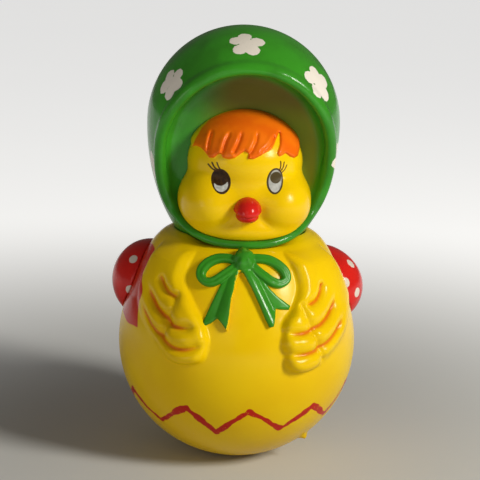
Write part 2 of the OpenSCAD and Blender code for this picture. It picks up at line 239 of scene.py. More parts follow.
L_WING = uv(spline([(-17.6, 84.2), (-19.3, 79.5), (-20.9, 74.8), (-20.4, 71.4), (-18.7, 67.5), (-16.2, 63), (-14.2, 59.6), (-13.2, 57), (-12.7, 54.6),
                    (-13.2, 51.4), (-14.0, 48.6), (-16.0, 46.4), (-20.5, 45.2), (-25.2, 45.2), (-29.2, 47.0), (-32.4, 49.9), (-35.1, 53.7), (-37.3, 58),
                    (-38.2, 62.4), (-37.2, 68.3), (-34.6, 74.8), (-31.4, 80.5), (-27, 84)], 5, True))
R_WING = uv(spline([(14.6, 84.0), (16.8, 79.2), (18.7, 74.5), (18.8, 69.9), (16.8, 64.9), (14.3, 61.6), (13.4, 59.2), (13.7, 57.6), (13.2, 55.4), (13.3, 52.6),
                    (14.8, 50.3), (14.2, 48.4), (15.3, 45.1), (18.5, 43.2), (23.3, 42.9), (27.6, 43.7), (31, 45.2), (34.6, 47.6), (37.8, 50.9), (39.9, 54.7),
                    (40.6, 59), (39.9, 63.5), (37.6, 70), (34.6, 76.4), (30.6, 81.4), (25.5, 84.3)], 5, True))
# grooves: line, depth, half-width, tint
L_GROOVES = [([(-28.6, 73.3), (-27.9, 70.9), (-26.4, 68.8), (-24.3, 67.7), (-22.4, 67.5)], 1.5, 0.75, 0.75),
             ([(-32.4, 68.6), (-31.5, 65.2), (-29.9, 62.4), (-27.8, 60.7), (-26.3, 59.9), (-25.2, 58.5), (-23.0, 57.6), (-19.9, 57.6), (-16.6, 58.4)], 1.7, 0.8, 0.95),
             ([(-35.0, 62.5), (-34.2, 59.2), (-32.6, 56.6), (-30.4, 54.7), (-28.4, 53.8), (-26.6, 52.1), (-23.6, 50.8), (-20.1, 50.7), (-16.2, 51.8), (-13.4, 53.2)], 1.6, 0.75, 0.85),
             ([(-22.2, 69.6), (-22.7, 66.6), (-24.1, 63.1), (-26.1, 60.1)], 0.65, 0.7, 0.0),
             ([(-26.2, 59.6), (-26.6, 56.9), (-28.2, 53.9)], 1.3, 0.65, 0.05)]
R_GROOVES = [([(27.1, 72.6), (27.0, 69.6), (25.6, 67.2), (23.3, 66.0), (21.0, 65.8)], 1.7, 0.75, 0.85),
             ([(31.9, 66.4), (31.4, 63.0), (29.4, 60.2), (26.6, 58.5), (23.8, 57.8), (22.3, 57.2), (19.6, 56.6), (16.4, 56.7), (14.2, 57.3)], 1.6, 0.75, 0.9),
             ([(35.2, 58.8), (33.6, 55.4), (30.4, 52.6), (26.3, 51.1), (23.4, 50.2), (18.9, 49.7), (15.0, 50.3)], 1.5, 0.7, 0.85),
             ([(18.6, 66.6), (19.5, 65.4), (20.2, 63.4), (21.1, 60.9), (22.8, 57.9)], 1.45, 0.7, 0.0),
             ([(22.8, 57.4), (24.4, 54.5), (26.2, 51.3)], 1.4, 0.65, 0.05),
             ([(26.2, 51.0), (27.2, 48.4), (28.6, 45.4)], 1.4, 0.7, 0.05)]


def wing_height(u, v, poly, grooves, side):
    """Height of the wing's relief and the amount of red that lies in its grooves."""
    d = -poly_sd(u, v, poly)
    vz = np.interp(v, PS, PROF[:, 1])
    cu = np.abs(u)
    inner = smooth((34 - cu) / 16)                       # the inner edge stands higher than the outer one
    low = smooth((60 - vz) / 22)
    width = 2.8 + 2.4 * (1 - inner)
    top = 2.1 + 2.2 * inner + 0.5 * low
    t = np.clip(d / width, 0, 1)
    h = top * (inner * np.sqrt(np.clip(1 - (1 - t) ** 2, 0, 1)) + (1 - inner) * smooth(t))
    h = h + 0.7 * smooth((d - 1) / 7)                    # a little fuller in the middle
    h = h * smooth((85.2 - vz) / 7.5)                     # fades into the shoulder
    tint = np.zeros_like(h)
    for pts, depth, hw, red in grooves:
        line = uv(spline(pts, 6))
        near = (np.abs(u - line[:, 0].mean()) < 26) & (np.abs(v - line[:, 1].mean()) < 22)
        dd = np.full(u.shape, 99.0)
        tt = np.zeros(u.shape)
        idx = np.where(near)[0]
        if len(idx) == 0:
            continue
        D = np.hypot(u[idx, None] - line[None, :, 0], v[idx, None] - line[None, :, 1])
        j = D.argmin(1)
        dd[idx] = poly_sd(u[idx], v[idx], line, closed=False)
        tt[idx] = j / (len(line) - 1)
        taper = smooth(tt / 0.16) * 0.85 + 0.15
        taper = taper * (smooth((1 - tt) / 0.12) * 0.75 + 0.25)
        inside = smooth((d + 0.3) / 1.2)
        h = h - inside * taper * depth * (0.66 * np.exp(-(dd / hw) ** 2) + 0.78 * np.exp(-(dd / 2.1) ** 2))
        tint = np.maximum(tint, inside * red * smooth(tt / 0.1) * smooth((1 - tt) / 0.25) * np.exp(-(dd / 0.85) ** 2))
    return np.where(d > 0, np.maximum(h, 0), 0), tint


def soften(H, n):
    for _ in range(n):
        K = H.copy()
        K[1:-1] = (H[:-2] + 2 * H[1:-1] + H[2:]) / 4
        H = K.copy()
        H[:, 1:-1] = (K[:, :-2] + 2 * K[:, 1:-1] + K[:, 2:]) / 4
    return H


# ---------------------------------------------------------------- body shells


def zigzag(th, s):
    """Distance to the hand-painted zigzag, less its half-width: th is the azimuth from -Y in degrees, s the arc length."""
    peaks = [-150, -112, -69.3, -28.4, 3.3, 39.0, 71, 114, 150, 186, 222]
    valleys = [-131, -91, -50.1, -13.8, 23.1, 56.7, 96, 132, 168, 204]
    zs = [18.7] * 3 + [18.7, 19.5, 20.5] + [19.5] * 4
    pts = []
    for i, p in enumerate(peaks):
        pts.append((p, 28.1 + 0.4 * math.sin(i * 2.1) + (3.8 if i == 6 else 0)))
        if i < len(valleys):
            pts.append((valleys[i], zs[i] + 0.3 * math.sin(i * 1.7)))
    pts = np.array(pts)
    x = np.radians(pts[:, 0]) * 38.5
    y = arc_of_z(pts[:, 1])
    px = np.radians(th) * 38.5 + 0.25 * np.sin(s * 1.3) + 0.12 * np.sin(s * 3.1 + th * 0.5)
    py = s + 0.22 * np.sin(np.radians(th) * 23) + 0.1 * np.sin(np.radians(th) * 71)
    d = np.full(px.shape, 99.0)
    for i in range(len(x) - 1):
        ax, ay, bx, by = x[i], y[i], x[i + 1], y[i + 1]
        ex, ey = bx - ax, by - ay
        t = np.clip(((px - ax) * ex + (py - ay) * ey) / (ex * ex + ey * ey), 0, 1)
        w = 1.12 + 0.30 * np.sin(t * 5 + i * 1.9) - 0.2 * (t > 0.93)
        d = np.minimum(d, np.hypot(px - ax - ex * t, py - ay - ey * t) - w)
    return d


def body_shell(front):
    # outer rows: fine where the wings are
    zf = arc_of_z(np.array([36.0]))[0]
    s_out = np.concatenate([np.linspace(0, 6, 6)[:-1], np.arange(6, zf, 0.95 if front else 1.2), np.arange(zf, PS[-1], 0.42 if front else 1.2), [PS[-1]]])
    po = np.stack([np.interp(s_out, PS, PROF[:, i]) for i in (0, 1)], 1)
    no = np.stack([np.interp(s_out, PS, PN[:, i]) for i in (0, 1)], 1)
    seam = [0, 0.07, 0.16, 0.3, 0.5, 0.8]
    n_reg = 330 if front else 150
    reg = np.linspace(-90 + 1.4, 90 - 1.4, n_reg)
    th = np.concatenate([[-90 + v for v in seam], reg, [90 - v for v in seam[::-1]]])
    TH, S = np.meshgrid(th, s_out, indexing="ij")
    H = np.zeros(TH.shape)
    T = np.zeros(TH.shape)
    if front:
        for poly, gr, sd in ((L_WING, L_GROOVES, -1), (R_WING, R_GROOVES, 1)):
            u = np.radians(TH) * UREF
            m = (np.sign(u) == sd) & (S > arc_of_z(38.0))
            hh, tt = wing_height(u[m], S[m], poly, gr, sd)
            H[m] = np.maximum(H[m], hh)
            T[m] = np.maximum(T[m], tt)
        H = soften(H, 2)
        edge = smooth((90 - np.abs(TH)) / 8)
        H = H * edge
        s_f = arc_of_z(10.6)
        H = H + 1.7 * np.exp(-np.abs((S - s_f) / 1.3) ** 3) * np.exp(-((57.8 - TH) / 2.6) ** 2)
    # rounded edge of the seam
    dseam = np.radians(90 - np.abs(TH)) * 45
    rho = 0.35
    H = H - np.where(dseam < rho, rho - np.sqrt(np.maximum(rho ** 2 - (rho - dseam) ** 2, 0)), 0)
    R = po[None, :, 0] + no[None, :, 0] * H
    Z = po[None, :, 1] + no[None, :, 1] * H
    # the shoulder closes on the bonnet at the sides and the back, and sinks away in front, under the bonnet's edge
    lift = smooth((np.abs(TH[:, :1]) - 30) / 28) if front else np.ones((len(th), 1))
    Z = Z + 1.35 * lift * smooth((37.5 - R) / 11) * (Z > 70)
    # the rest of the closed outline, back from the neck down the inside to the screw pocket
    inner = []
    inner += [(26.7, NECK_Z + 1.62), (26.0, NECK_Z + 1.95), (25.3, NECK_Z + 2.2), (24.85, NECK_Z + 2.25), (24.6, NECK_Z + 1.9), (23.6, NECK_Z + 0.3), (21.5, NECK_Z), (21.05, NECK_Z - 0.3), (21.05, NECK_Z - WALL + 0.2), (21.3, NECK_Z - WALL), (24, NECK_Z - WALL - 0.1)]
    keep = np.linspace(len(PROF) - 12, 30, 46).astype(int)
    for i in keep:
        q = PROF[i] - PN[i] * WALL
        if q[1] < NECK_Z - WALL - 0.4 and q[0] > 9.6:
            inner.append(tuple(q))
    zin = BODY_Z - math.sqrt((BODY_R - WALL) ** 2 - 9.1 ** 2)
    inner += [(9.1, zin + 0.1), (9.1, 4.6), (2.2, 4.6), (2.2, 3.0), (7.55, 3.0), (7.55, 0.15), (7.7, 0.0), (8.2, 0.0)]
    inner = np.array(inner)
    ni = len(inner)
    RI = np.repeat(inner[None, :, 0], len(th), 0)
    ZI = np.repeat(inner[None, :, 1], len(th), 0)
    ZI = np.where(ZI > NECK_Z, NECK_Z + (ZI - NECK_Z) * np.maximum(lift, 0.02), ZI)
    RR, ZZ = np.concatenate([R, RI], 1), np.concatenate([Z, ZI], 1)
    sgn = 1 if front else -1
    X = RR * np.sin(np.radians(TH[:, :1])) * sgn
    Y = -RR * np.cos(np.radians(TH[:, :1])) * sgn - 0.06 * sgn
    V = np.stack([X, Y, ZZ], -1)
    m, n = RR.shape
    idx = np.arange(m * n).reshape(m, n)
    j2 = np.roll(np.arange(n), -1)
    Q = np.stack([idx[:-1], idx[1:], idx[1:][:, j2], idx[:-1][:, j2]], -1).reshape(-1, 4)
    caps = []
    for k in (0, m - 1):
        tri = np.array(tessellate_polygon([[Vector((float(RR[k, j]), float(ZZ[k, j]), 0)) for j in range(n)]]))
        tri = idx[k][tri]
        a, b, c = (V.reshape(-1, 3)[tri[:, i]] for i in range(3))
        ny = np.cross(b - a, c - a)[:, 1] * sgn
        tri[ny < 0] = tri[ny < 0][:, ::-1]
        caps.append(tri)
    Vf = V.reshape(-1, 3)
    # orientation of the swept part
    a, b, c, d = (Vf[Q[:, i]] for i in range(4))
    r = np.cross(c - a, d - b)
    mid = (a + b + c + d) / 4
    outer = (Q[:, 0] % n) < len(s_out) - 2
    w = (r[outer, 0] * mid[outer, 0] + r[outer, 1] * mid[outer, 1]).mean()
    if w < 0:
        Q = Q[:, ::-1]
    att_t = np.zeros((m, n))
    att_t[:, :len(s_out)] = T
    zz = np.full((m, n), 9.0)
    az = TH if front else TH + 180
    zz[:, :len(s_out)] = zigzag(az, S)
    over = np.zeros((m, n))
    xo, yo, zo = V[:, :len(s_out), 0], V[:, :len(s_out), 1], V[:, :len(s_out), 2]
    # the paint of the left loop runs on to the edge of the wing
    bx = np.interp(zo, (53.0, 58.0, 63.0, 68.3, 74.7, 81.9), (-37.9, -37.9, -37.5, -35.9, -33.9, -31.3))
    zt = np.interp(yo, (-24, -19, -15, -10, -4, 4, 16), (66, 71, 77, 81, 82, 81, 77))
    zb = np.interp(yo, (-24, -18, -10, -2, 6, 16), (52.7, 52.7, 53.3, 54.8, 57.5, 63))
    wob = 0.25 * np.sin(yo * 0.55)
    patch = smooth((bx - xo) / 1.1 + 0.5) * smooth((zo - zb - wob) / 1.2) * smooth((zt - zo + wob) / 1.6) * (yo < 16)
    over[:, :len(s_out)] = np.maximum(over[:, :len(s_out)], patch)
    return Vf, [Q] + caps, {"zig": zz.ravel(), "tint": att_t.ravel(), "over": over.ravel()}


V, F, A = body_shell(True)
body_front = make("body_front", V, F, attrs=A, replaces=("body_front_shell",))
V, F, A = body_shell(False)
body_rear = make("body_rear", V, F, attrs=A, replaces=("body_rear_shell",))

# ---------------------------------------------------------------- bonnet


def bonnet_r(z):
    up = np.sqrt(np.clip(CR ** 2 - (z - CZ) ** 2, 0, None))
    dn = CR * np.sqrt(np.clip(1 - ((CZ - z) / JAW) ** 2, 0, 1))
    return np.where(z > CZ, up, dn)


def bonnet_outer(P):
    """Distance to the bonnet's outer surface, negative inside."""
    r = np.hypot(P[:, 0], P[:, 1])
    dz = P[:, 2] - CZ
    up = np.hypot(r, dz) - CR
    q = np.sqrt((r / CR) ** 2 + (dz / JAW) ** 2)
    g = np.sqrt((r / CR ** 2) ** 2 + (dz / JAW ** 2) ** 2) / np.maximum(q, 1e-6)
    dn = (q - 1) / np.maximum(g, 1e-6)
    return np.where(dz > 0, up, dn)


def opening_sd(x, z, g=0.0):
    """Distance to the face opening's outline: a half circle over a fuller jaw."""
    dz = z - 118.4
    top = np.hypot(x, dz) - (29.4 + g)
    a, b, n = 29.4 + g, 30.6 + g, 2.7
    ax, az = np.abs(x) / a, np.abs(dz) / b
    q = (ax ** n + az ** n) ** (1 / n)
    gx = (ax ** (n - 1)) / a
    gz = (az ** (n - 1)) / b
    gg = np.sqrt(gx * gx + gz * gz) / np.maximum(q ** (n - 1), 1e-6)
    low = (q - 1) / np.maximum(gg, 1e-6)
    w = smooth((dz + 3) / 6)
    return top * w + low * (1 - w)


_ph = np.radians(np.arange(-90, 270, 5.0))


def lip_path():
    pts = []
    for p in _ph:
        n = 2 if math.sin(p) >= 0 else 2.7
        cx_, sz_ = math.cos(p), math.sin(p)
        x = 31.0 * np.sign(cx_) * abs(cx_) ** (2 / n)
        z = 118.4 + (31.0 if sz_ >= 0 else 32.2) * np.sign(sz_) * abs(sz_) ** (2 / n)
        r = bonnet_r(np.array([z]))[0]
        ys = -math.sqrt(max(r * r - x * x, 4.0)) + 1.9
        yl = -math.sqrt(max(28.6 ** 2 - x * x, 4.0)) + 1.0
        w = float(smooth(np.array([(100 - z) / 10.0]))[0])
        pts.append((x, ys * (1 - w) + yl * w, z))
    return np.array(pts)


LIP = spline(lip_path(), 2, True)


def lip_d(P):
    from_best = np.full(len(P), 1e9)
    n = len(LIP)
    near = (P[:, 1] < 4) & (np.abs(opening_sd(P[:, 0], P[:, 2])) < 7) & (np.abs(bonnet_outer(P)) < 9)
    p = P[near]
    best = np.full(len(p), 1e9)
    for i in range(n):
        a, b = LIP[i], LIP[(i + 1) % n]
        e = b - a
        t = np.clip(((p - a) @ e) / (e @ e), 0, 1)
        q = p - a - t[:, None] * e
        best = np.minimum(best, (q * q).sum(1))
    from_best[near] = np.sqrt(best)
    return np.minimum(from_best, 7)


def lip_r(z):
    return 1.45 + 0.75 * smooth((z - 92) / 25)


def bonnet_solid(P):
    o = bonnet_outer(P)
    x, y, z = P[:, 0], P[:, 1], P[:, 2]
    op = opening_sd(x, z)
    # recess: a bowl behind the edge, with a rounded floor at y = -10
    cav = smax(op - 0.9 * smooth((y + 26) / 12), y + 10.2, 7.0)
    f = smax(o, -cav, 3.2)
    f = smin(f, lip_d(P) - lip_r(z), 1.6)
    f = smax(f, NECK_Z - 6 - z, 0.4)
    # spigot under the neck
    r = np.hypot(x, y)
    sp = np.maximum(r - 20.9, np.abs(z - 82.0) - 3.2)
    f = np.where(z < NECK_Z, np.maximum(f, -(z - 79)), f)
    hb, _, _ = body_coords(P)
    outside = np.maximum(f, -(hb - 0.05))
    f = np.where((r > 21) & (z < 88), outside, f)
    f = np.minimum(np.where(z < NECK_Z, np.maximum(f, np.minimum(r - 20.9, np.where(r > 26.5, -9, 9))), f), sp)
    return f


def bonnet_full(P):
    f = bonnet_solid(P)
    r = np.hypot(P[:, 0], P[:, 1])
    bore = np.maximum(r - 19.3, P[:, 2] - (NECK_Z + 4))
    hollow = np.minimum(f + WALL, 99)
    f = np.maximum(f, -hollow)
    return np.maximum(f, -bore)


def bonnet_front_f(P):
    return smax(bonnet_full(P), P[:, 1] + 0.06, 0.35)


def bonnet_rear_f(P):
    f = bonnet_outer(P)
    r = np.hypot(P[:, 0], P[:, 1])
    z = P[:, 2]
    f = np.maximum(f, NECK_Z - z)
    f = np.maximum(f, -(f + WALL))
    sp = np.maximum(np.maximum(r - 20.9, 19.3 - r), np.maximum(78.8 - z, z - NECK_Z - 1.6))
    f = np.minimum(f, sp)
    f = np.maximum(f, -np.maximum(r - 19.3, z - NECK_Z - 4))
    return smax(f, -P[:, 1] + 0.06, 0.35)


FLOWERS = [((-1.4, -18.6, 157.8), 6.9, 0.35), ((-27.4, -16.8, 142.9), 6.7, 1.2), ((25.0, -19.0, 144.5), 7.4, 0.1), ((33.4, -10.9, 116.4), 6.0, 0.9), ((-33.2, -8.8, 111.6), 5.6, 0.5),
           ((30.5, 9.0, 146.0), 6.5, 0.3), ((-30.0, 11.5, 144.0), 6.6, 0.9), ((3.0, 17.0, 158.0), 6.8, 0.6), ((0.0, 35.0, 133.0), 7.0, 0.2), ((22.0, 28.0, 118.0), 6.6, 1.0),
           ((-23.0, 27.0, 121.0), 6.6, 0.4), ((-33.0, 8.0, 105.0), 5.8, 0.1), ((33.0, 9.0, 104.0), 6.0, 0.7), ((1.0, 31.0, 104.0), 6.3, 0.5), ((17.0, 30.5, 146.5), 6.2, 0.8), ((-16.5, 31.0, 147.0), 6.2, 0.1)]


def flowers(P):
    out = np.full(len(P), 9.0)
    for c, R, rot in FLOWERS:
        c = np.array(c)
        n = np.array([c[0], c[1], (c[2] - CZ) * (1 if c[2] > CZ else (CR / JAW) ** 2)])
        n = n / np.linalg.norm(n)
        e1 = np.cross([0, 0, 1.0], n)
        e1 /= np.linalg.norm(e1)
        e2 = np.cross(n, e1)
        m = ((P - c) ** 2).sum(1) < (R + 3) ** 2
        if not m.any():
            continue
        q = P[m] - c
        u, v = q @ e1, q @ e2
        d = np.hypot(u, v) - R * 0.34
        for k in range(5):
            a = rot + k * 2 * math.pi / 5 + 0.08 * math.sin(k * 3 + c[0])
            s_ = 1 + 0.07 * math.sin(k * 5 + c[2])
            pu, pv = R * 0.60 * s_ * math.cos(a), R * 0.60 * s_ * math.sin(a)
            # petals are wider than they are long
            du, dv = u - pu, v - pv
            ra, ta = du * math.cos(a) + dv * math.sin(a), -du * math.sin(a) + dv * math.cos(a)
            petal = (np.hypot(ra / (0.36 * s_), ta / (0.36 * s_)) - R) * 0.36 * s_
            d = smin(d, petal, 0.5)
        out[m] = np.minimum(out[m], d + 0.12 * np.sin(u * 2.7 + v) * np.sin(v * 3.1))
    return out


V, Q = mesh_field(bonnet_front_f, (-37.2, -37.2, 77.5), (37.2, 1.2, 164.4), 0.55)
op = opening_sd(V[:, 0], V[:, 2])
# yellow mist from the face's colour reaches the floor of the recess
mist = smooth(1 - (-(V[:, 1]) - 10.0) / 13.0) * smooth((-op - 0.3) / 5)
side = smooth((V[:, 0] + 24) / 26)
mist = np.clip(mist * (0.08 + 0.92 * side), 0, 1)
# painted shade: this mask turns the recess's yellow overspray darker brown towards the top, where the bonnet's top
# shades it
recess_top_shade = smooth((V[:, 2] - 126) / 12)
bonnet_front = make("bonnet_front", V, [Q], attrs={"flower": flowers(V) + 9 * (op < 1.2), "mist": mist, "recess_top_shade": recess_top_shade}, replaces=("bonnet_front_shell",))
V, Q = mesh_field(bonnet_rear_f, (-37.2, -1.2, 77.5), (37.2, 37.2, 164.4), 0.6)
bonnet_rear = make("bonnet_rear", V, [Q], attrs={"flower": flowers(V), "mist": np.zeros(len(V)), "recess_top_shade": np.zeros(len(V))}, replaces=("bonnet_rear_shell",))

# ---------------------------------------------------------------- face


def ell(P, c, r):
    q = (P - np.array(c)) / np.array(r)
    k0 = np.linalg.norm(q, axis=1)
    k1 = np.linalg.norm(q / np.array(r), axis=1)
    return k0 * (k0 - 1) / np.maximum(k1, 1e-6)


FR_LOW = [(-20.6, 126.5), (-20.3, 122.1), (-19.6, 119.6), (-18.1, 120.3), (-16.5, 120.1), (-14.8, 118.9), (-13.5, 117.1), (-11.9, 117.3), (-10.3, 118.8), (-9.4, 119.0), (-8.7, 117.6),
          (-6.6, 117.3), (-4.6, 117.9), (-2.6, 119.5), (-1.1, 120.4), (0.3, 119.5), (-0.1, 117.7), (2.1, 117.7), (4.4, 118.9), (6.4, 120.0), (8.6, 121.1), (9.5, 122.5), (11.4, 126.3),
          (11.9, 125.9), (11.8, 122.5), (10.7, 119.4), (11.5, 118.3), (12.7, 118.8), (13.9, 119.3), (15.6, 118.0), (17.3, 117.2), (18.9, 117.6), (19.9, 120.2), (20.6, 125.5)]
FRINGE = FR_LOW + [(19, 133), (10, 140), (0, 142), (-10, 140), (-19, 133)]
STRANDS = [[(-12.6, 125.7), (-13.5, 122.5), (-14.0, 118.9)], [(-6.5, 125.9), (-7.9, 123), (-8.9, 119.6)], [(-2.0, 127.0), (-3.1, 123.6), (-4.9, 120.0)],
           [(3.5, 127.1), (2.9, 123.6), (0.9, 119.8)], [(9.4, 124.8), (8.0, 122.4), (5.3, 120.2)]]
CREASES = [[(-4.3, 98.4), (-5.2, 95.4), (-7.3, 91.4)], [(5.4, 98.6), (6.3, 95.2), (8.6, 91.8)]]


def face_base(P):
    base = ell(P, (0.4, -6.0, 101.0), (24.4, 22.4, 17.6))
    fore = ell(P, (0.3, -6.8, 114.4), (21.6, 21.9, 18.3))
    f = smin(base, fore, 2.6)
    for sx in (-1, 1):
        f = smin(f, ell(P, (0.4 + sx * 11.6, -14.0, 100.0), (12.6, 15.8, 12.6)), 3.0)
    f = smin(f, ell(P, (0.4, -16.0, 92.8), (12.0, 11.3, 8.0)), 3.0)
    f = smin(f, ell(P, (0.4, -12.5, 90.6), (21.5, 16.0, 6.9)), 3.0)
    return f


def fringe_sd(P):
    return poly_sd(P[:, 0], P[:, 2], FRINGE)


def face_f(P):
    f = face_base(P)
    m = (f < 3.5) & (P[:, 1] < -8)
    if m.any():
        q = P[m]
        x, z = q[:, 0], q[:, 2]
        add = np.zeros(len(q))
        d = -fringe_sd(q)
        t = np.clip(d / 1.1, 0, 1)
        add += 0.95 * np.sqrt(np.clip(1 - (1 - t) ** 2, 0, 1)) * (d > 0)
        for k, l in enumerate(STRANDS):
            ln = spline(l, 5)
            dd = poly_sd(x, z, ln, closed=False)
            # each lock stands up on one side of its groove
            s_ = np.sign((x - np.interp(z, ln[::-1, 1], ln[::-1, 0])))
            fade = smooth((127.5 - z) / 3) * smooth((d + 0.2) / 0.8)
            add -= fade * 0.8 * np.exp(-(dd / 0.6) ** 2)
            add += fade * 0.3 * np.exp(-((dd - 1.3) / 0.9) ** 2) * (s_ < 0)
        for l in CREASES:
            ln = spline(l, 5)
            dd = poly_sd(x, z, ln, closed=False)
            add -= 0.42 * np.exp(-(dd / 1.9) ** 2) * smooth((z - 90.8) / 4)
        # shallow sockets round the eyes
        for cx_, cz_ in ((-9.3, 109.2), (10.1, 109.6)):
            add -= 0.22 * np.exp(-(((x - cx_) / 5.2) ** 2 + ((z - cz_) / 5.6) ** 2) * 1.0)
        f = f.copy()
        f[m] -= add * smooth((3.5 - f[m]) / 2)
    f = smax(f, P[:, 1] + 10.0, 1.2)                     # flat back, against the floor of the recess
    o = opening_sd(P[:, 0], P[:, 2], 0.6)
    f = smax(f, o, 1.0)
    return smax(f, -(lip_d(P) - lip_r(P[:, 2]) - 0.04), 0.3)


V, Q = mesh_field(face_f, (-26.5, -33.0, 84.0), (26.5, -8.5, 136.5), 0.38)
front_m = V[:, 1] < -9.5
x, z = V[:, 0], V[:, 2]


def ellipse_sd(x, z, c, r, rot=0.0):
    ca, sa = math.cos(rot), math.sin(rot)
    u, v = (x - c[0]) * ca + (z - c[1]) * sa, -(x - c[0]) * sa + (z - c[1]) * ca
    k0 = np.hypot(u / r[0], v / r[1])
    k1 = np.hypot(u / r[0] ** 2, v / r[1] ** 2)
    return k0 * (k0 - 1) / np.maximum(k1, 1e-6)


facing = V[:, 1] < -20
far = np.where(facing, 0, 9)
eye_dark = np.minimum(ellipse_sd(x, z, (-9.2, 109.15), (3.45, 4.45), 0.2), ellipse_sd(x, z, (10.1, 109.65), (3.05, 4.6), -0.06)) + far
grey_l = np.maximum(ellipse_sd(x, z, (-9.15, 107.95), (2.5, 2.4)), -ellipse_sd(x, z, (-9.5, 110.9), (3.1, 3.4)))
grey_ro = ellipse_sd(x, z, (10.2, 109.65), (2.4, 3.95), -0.06)
pup_r = ellipse_sd(x, z, (10.4, 110.75), (2.1, 2.1), 0.1)
eye_grey = np.minimum(grey_l, np.maximum(grey_ro, -pup_r)) + far
lash = np.full(len(V), 9.0)
for l, w in (([(-10.9, 112.6), (-12.4, 113.3), (-13.8, 114.7)], 0.31), ([(-10.2, 113.0), (-11.6, 113.9), (-12.5, 115.5)], 0.31), ([(-9.5, 113.3), (-10.2, 114.2), (-10.8, 115.7)], 0.27),
             ([(11.5, 113.2), (12.1, 114.6), (12.0, 116.5)], 0.26), ([(12.0, 112.8), (13.0, 114.2), (13.4, 116.2)], 0.24), ([(12.4, 112.2), (13.6, 113.3), (14.5, 115.1)], 0.21)):
    lash = np.minimum(lash, poly_sd(x, z, spline(l, 4), closed=False) - w)
lash += far
attrs = {
    "orange": np.maximum(fringe_sd(V) - 0.12, ellipse_sd(x, z, (0.8, 114.2), (20.9, 20.5))) + np.where(V[:, 1] < -11.6, 0, 1.2),
    "eyed": eye_dark, "eyeg": eye_grey, "lash": lash,
    "mist": smooth((-V[:, 1] - 9.0 - 3.4) / -3.0 + 0.4) * 0.9,
    "side": (x > 0) * 1.0,
    "eyelow": smooth((110.0 - z) / 2.0),
}
face = make("face", V, [Q], attrs=attrs, replaces=("face_shell",))


def beak_f(P):
    x, z = P[:, 0] - 0.5, P[:, 2]
    zm = 97.35 + 0.055 * x ** 2                           # the mouth curves up at both corners
    up = smax(ell(P, (0.5, -28.0, 98.5), (5.15, 7.3, 5.4)), (zm - z) * 0.95, 0.7)
    lo = ell(P, (0.5, -27.6, 97.0), (4.15, 6.5, 2.55))
    return smax(smin(up, lo, 0.18), -(face_f(P) + 0.12), 0.15)


V, Q = mesh_field(beak_f, (-6.5, -37.5, 92.5), (7.5, -24.0, 106.0), 0.22)
beak = make("beak", V, [Q], attrs={"dots": np.full(len(V), 9.0)})

# ---------------------------------------------------------------- bow under the chin


def surf(pts):
    p = np.asarray(pts, float)
    return np.stack([p[:, 0], arc_of_z(np.minimum(p[:, 1], 84.99)) + np.maximum(p[:, 1] - 84.99, 0)], 1)


BL = surf(spline([(-3.2, 81.0), (-6.3, 81.7), (-9.6, 81.4), (-12.8, 80.0), (-15.1, 77.6), (-15.3, 75.2), (-13.4, 73.9), (-10.8, 74.4), (-7.6, 76.5), (-3.2, 79.6)], 6, True))
BR = surf(spline([(2.4, 81.6), (6.0, 81.7), (8.8, 81.1), (11.6, 79.6), (13.9, 77.4), (14.4, 75.0), (12.4, 73.8), (9.9, 74.3), (7.0, 76.1), (2.4, 79.6)], 6, True))
TL = surf([(-3.1, 79.0), (-5.4, 77.6), (-8.9, 73.3), (-11.9, 67.1), (-14.9, 60.4), (-14.3, 59.2), (-11.9, 60.4), (-9.8, 62.1), (-8.0, 60.3), (-6.3, 58.0), (-5.6, 61.3), (-4.9, 68.3), (-3.3, 74.3), (-2.0, 78.5)])
TR = surf([(-1.1, 78.7), (2.1, 79.2), (5.2, 76.5), (8.3, 72.8), (11.5, 69.7), (16.2, 66.2), (15.7, 64.9), (13.1, 65.1), (10.9, 65.6), (10.7, 63.1), (9.8, 59.6), (8.5, 59.4), (7.0, 62.2), (4.9, 66.9), (2.1, 72.6), (-1.0, 77.7)])


def round_extrude(d2, h, top, rad):
    qx, qy = d2 + rad, np.abs(h) - top + rad
    return np.hypot(np.maximum(qx, 0), np.maximum(qy, 0)) + np.minimum(np.maximum(qx, qy), 0) - rad


def chin_f(P):
    h, X, S = body_coords(P)
    band = []
    for c in (BL, BR):
        dc = poly_sd(X, S, c) if False else np.abs(poly_sd(X, S, c))
        # a flattened band with a slightly hollow face
        q = ((np.abs(dc) / 1.72) ** 2.6 + (np.abs(h) / 2.35) ** 2.6) ** (1 / 2.6)
        band.append((q - 1) * 1.72 + 0.22 * np.exp(-(dc / 0.55) ** 2) * (h > 1.2))
    f = smin(band[0], band[1], 0.3)
    tl = poly_sd(X, S, TL)
    tr = poly_sd(X, S, TR)
    # the tails are thin ribbon with a fold along the middle
    zb = np.interp(S, PS, PROF[:, 1])
    mid_l = np.interp(zb, [58, 79], [-9.3, -2.2])
    mid_r = np.interp(zb, [58, 79], [11.2, 0.2])
    tfl = 1.25 + 0.95 * np.clip(1 - ((X - mid_l - 1.2) / 3.4) ** 2, -0.3, 1)
    tfr = 1.25 + 0.95 * np.clip(1 - ((X - mid_r + 1.0) / 3.0) ** 2, -0.3, 1)
    f = smin(f, round_extrude(tl, h, tfl, 0.75), 0.35)
    f = smin(f, round_extrude(tr, h, tfr, 0.75), 0.35)
    S0 = arc_of_z(81.3)
    dx, ds = (X + 0.6), (S - S0)
    q = np.sqrt((dx / 3.8) ** 2 + (ds / 4.5) ** 2 + (h / 5.0) ** 2)
    kn = (q - 1) * 3.6
    ang = np.arctan2(ds, dx)
    kn = kn + 0.16 * np.cos(ang * 5 + 0.6) * smooth((np.hypot(dx, ds) - 0.8) / 1.5)
    f = smin(f, kn, 0.45)
    return smax(f, -(h + 0.25), 0.2)


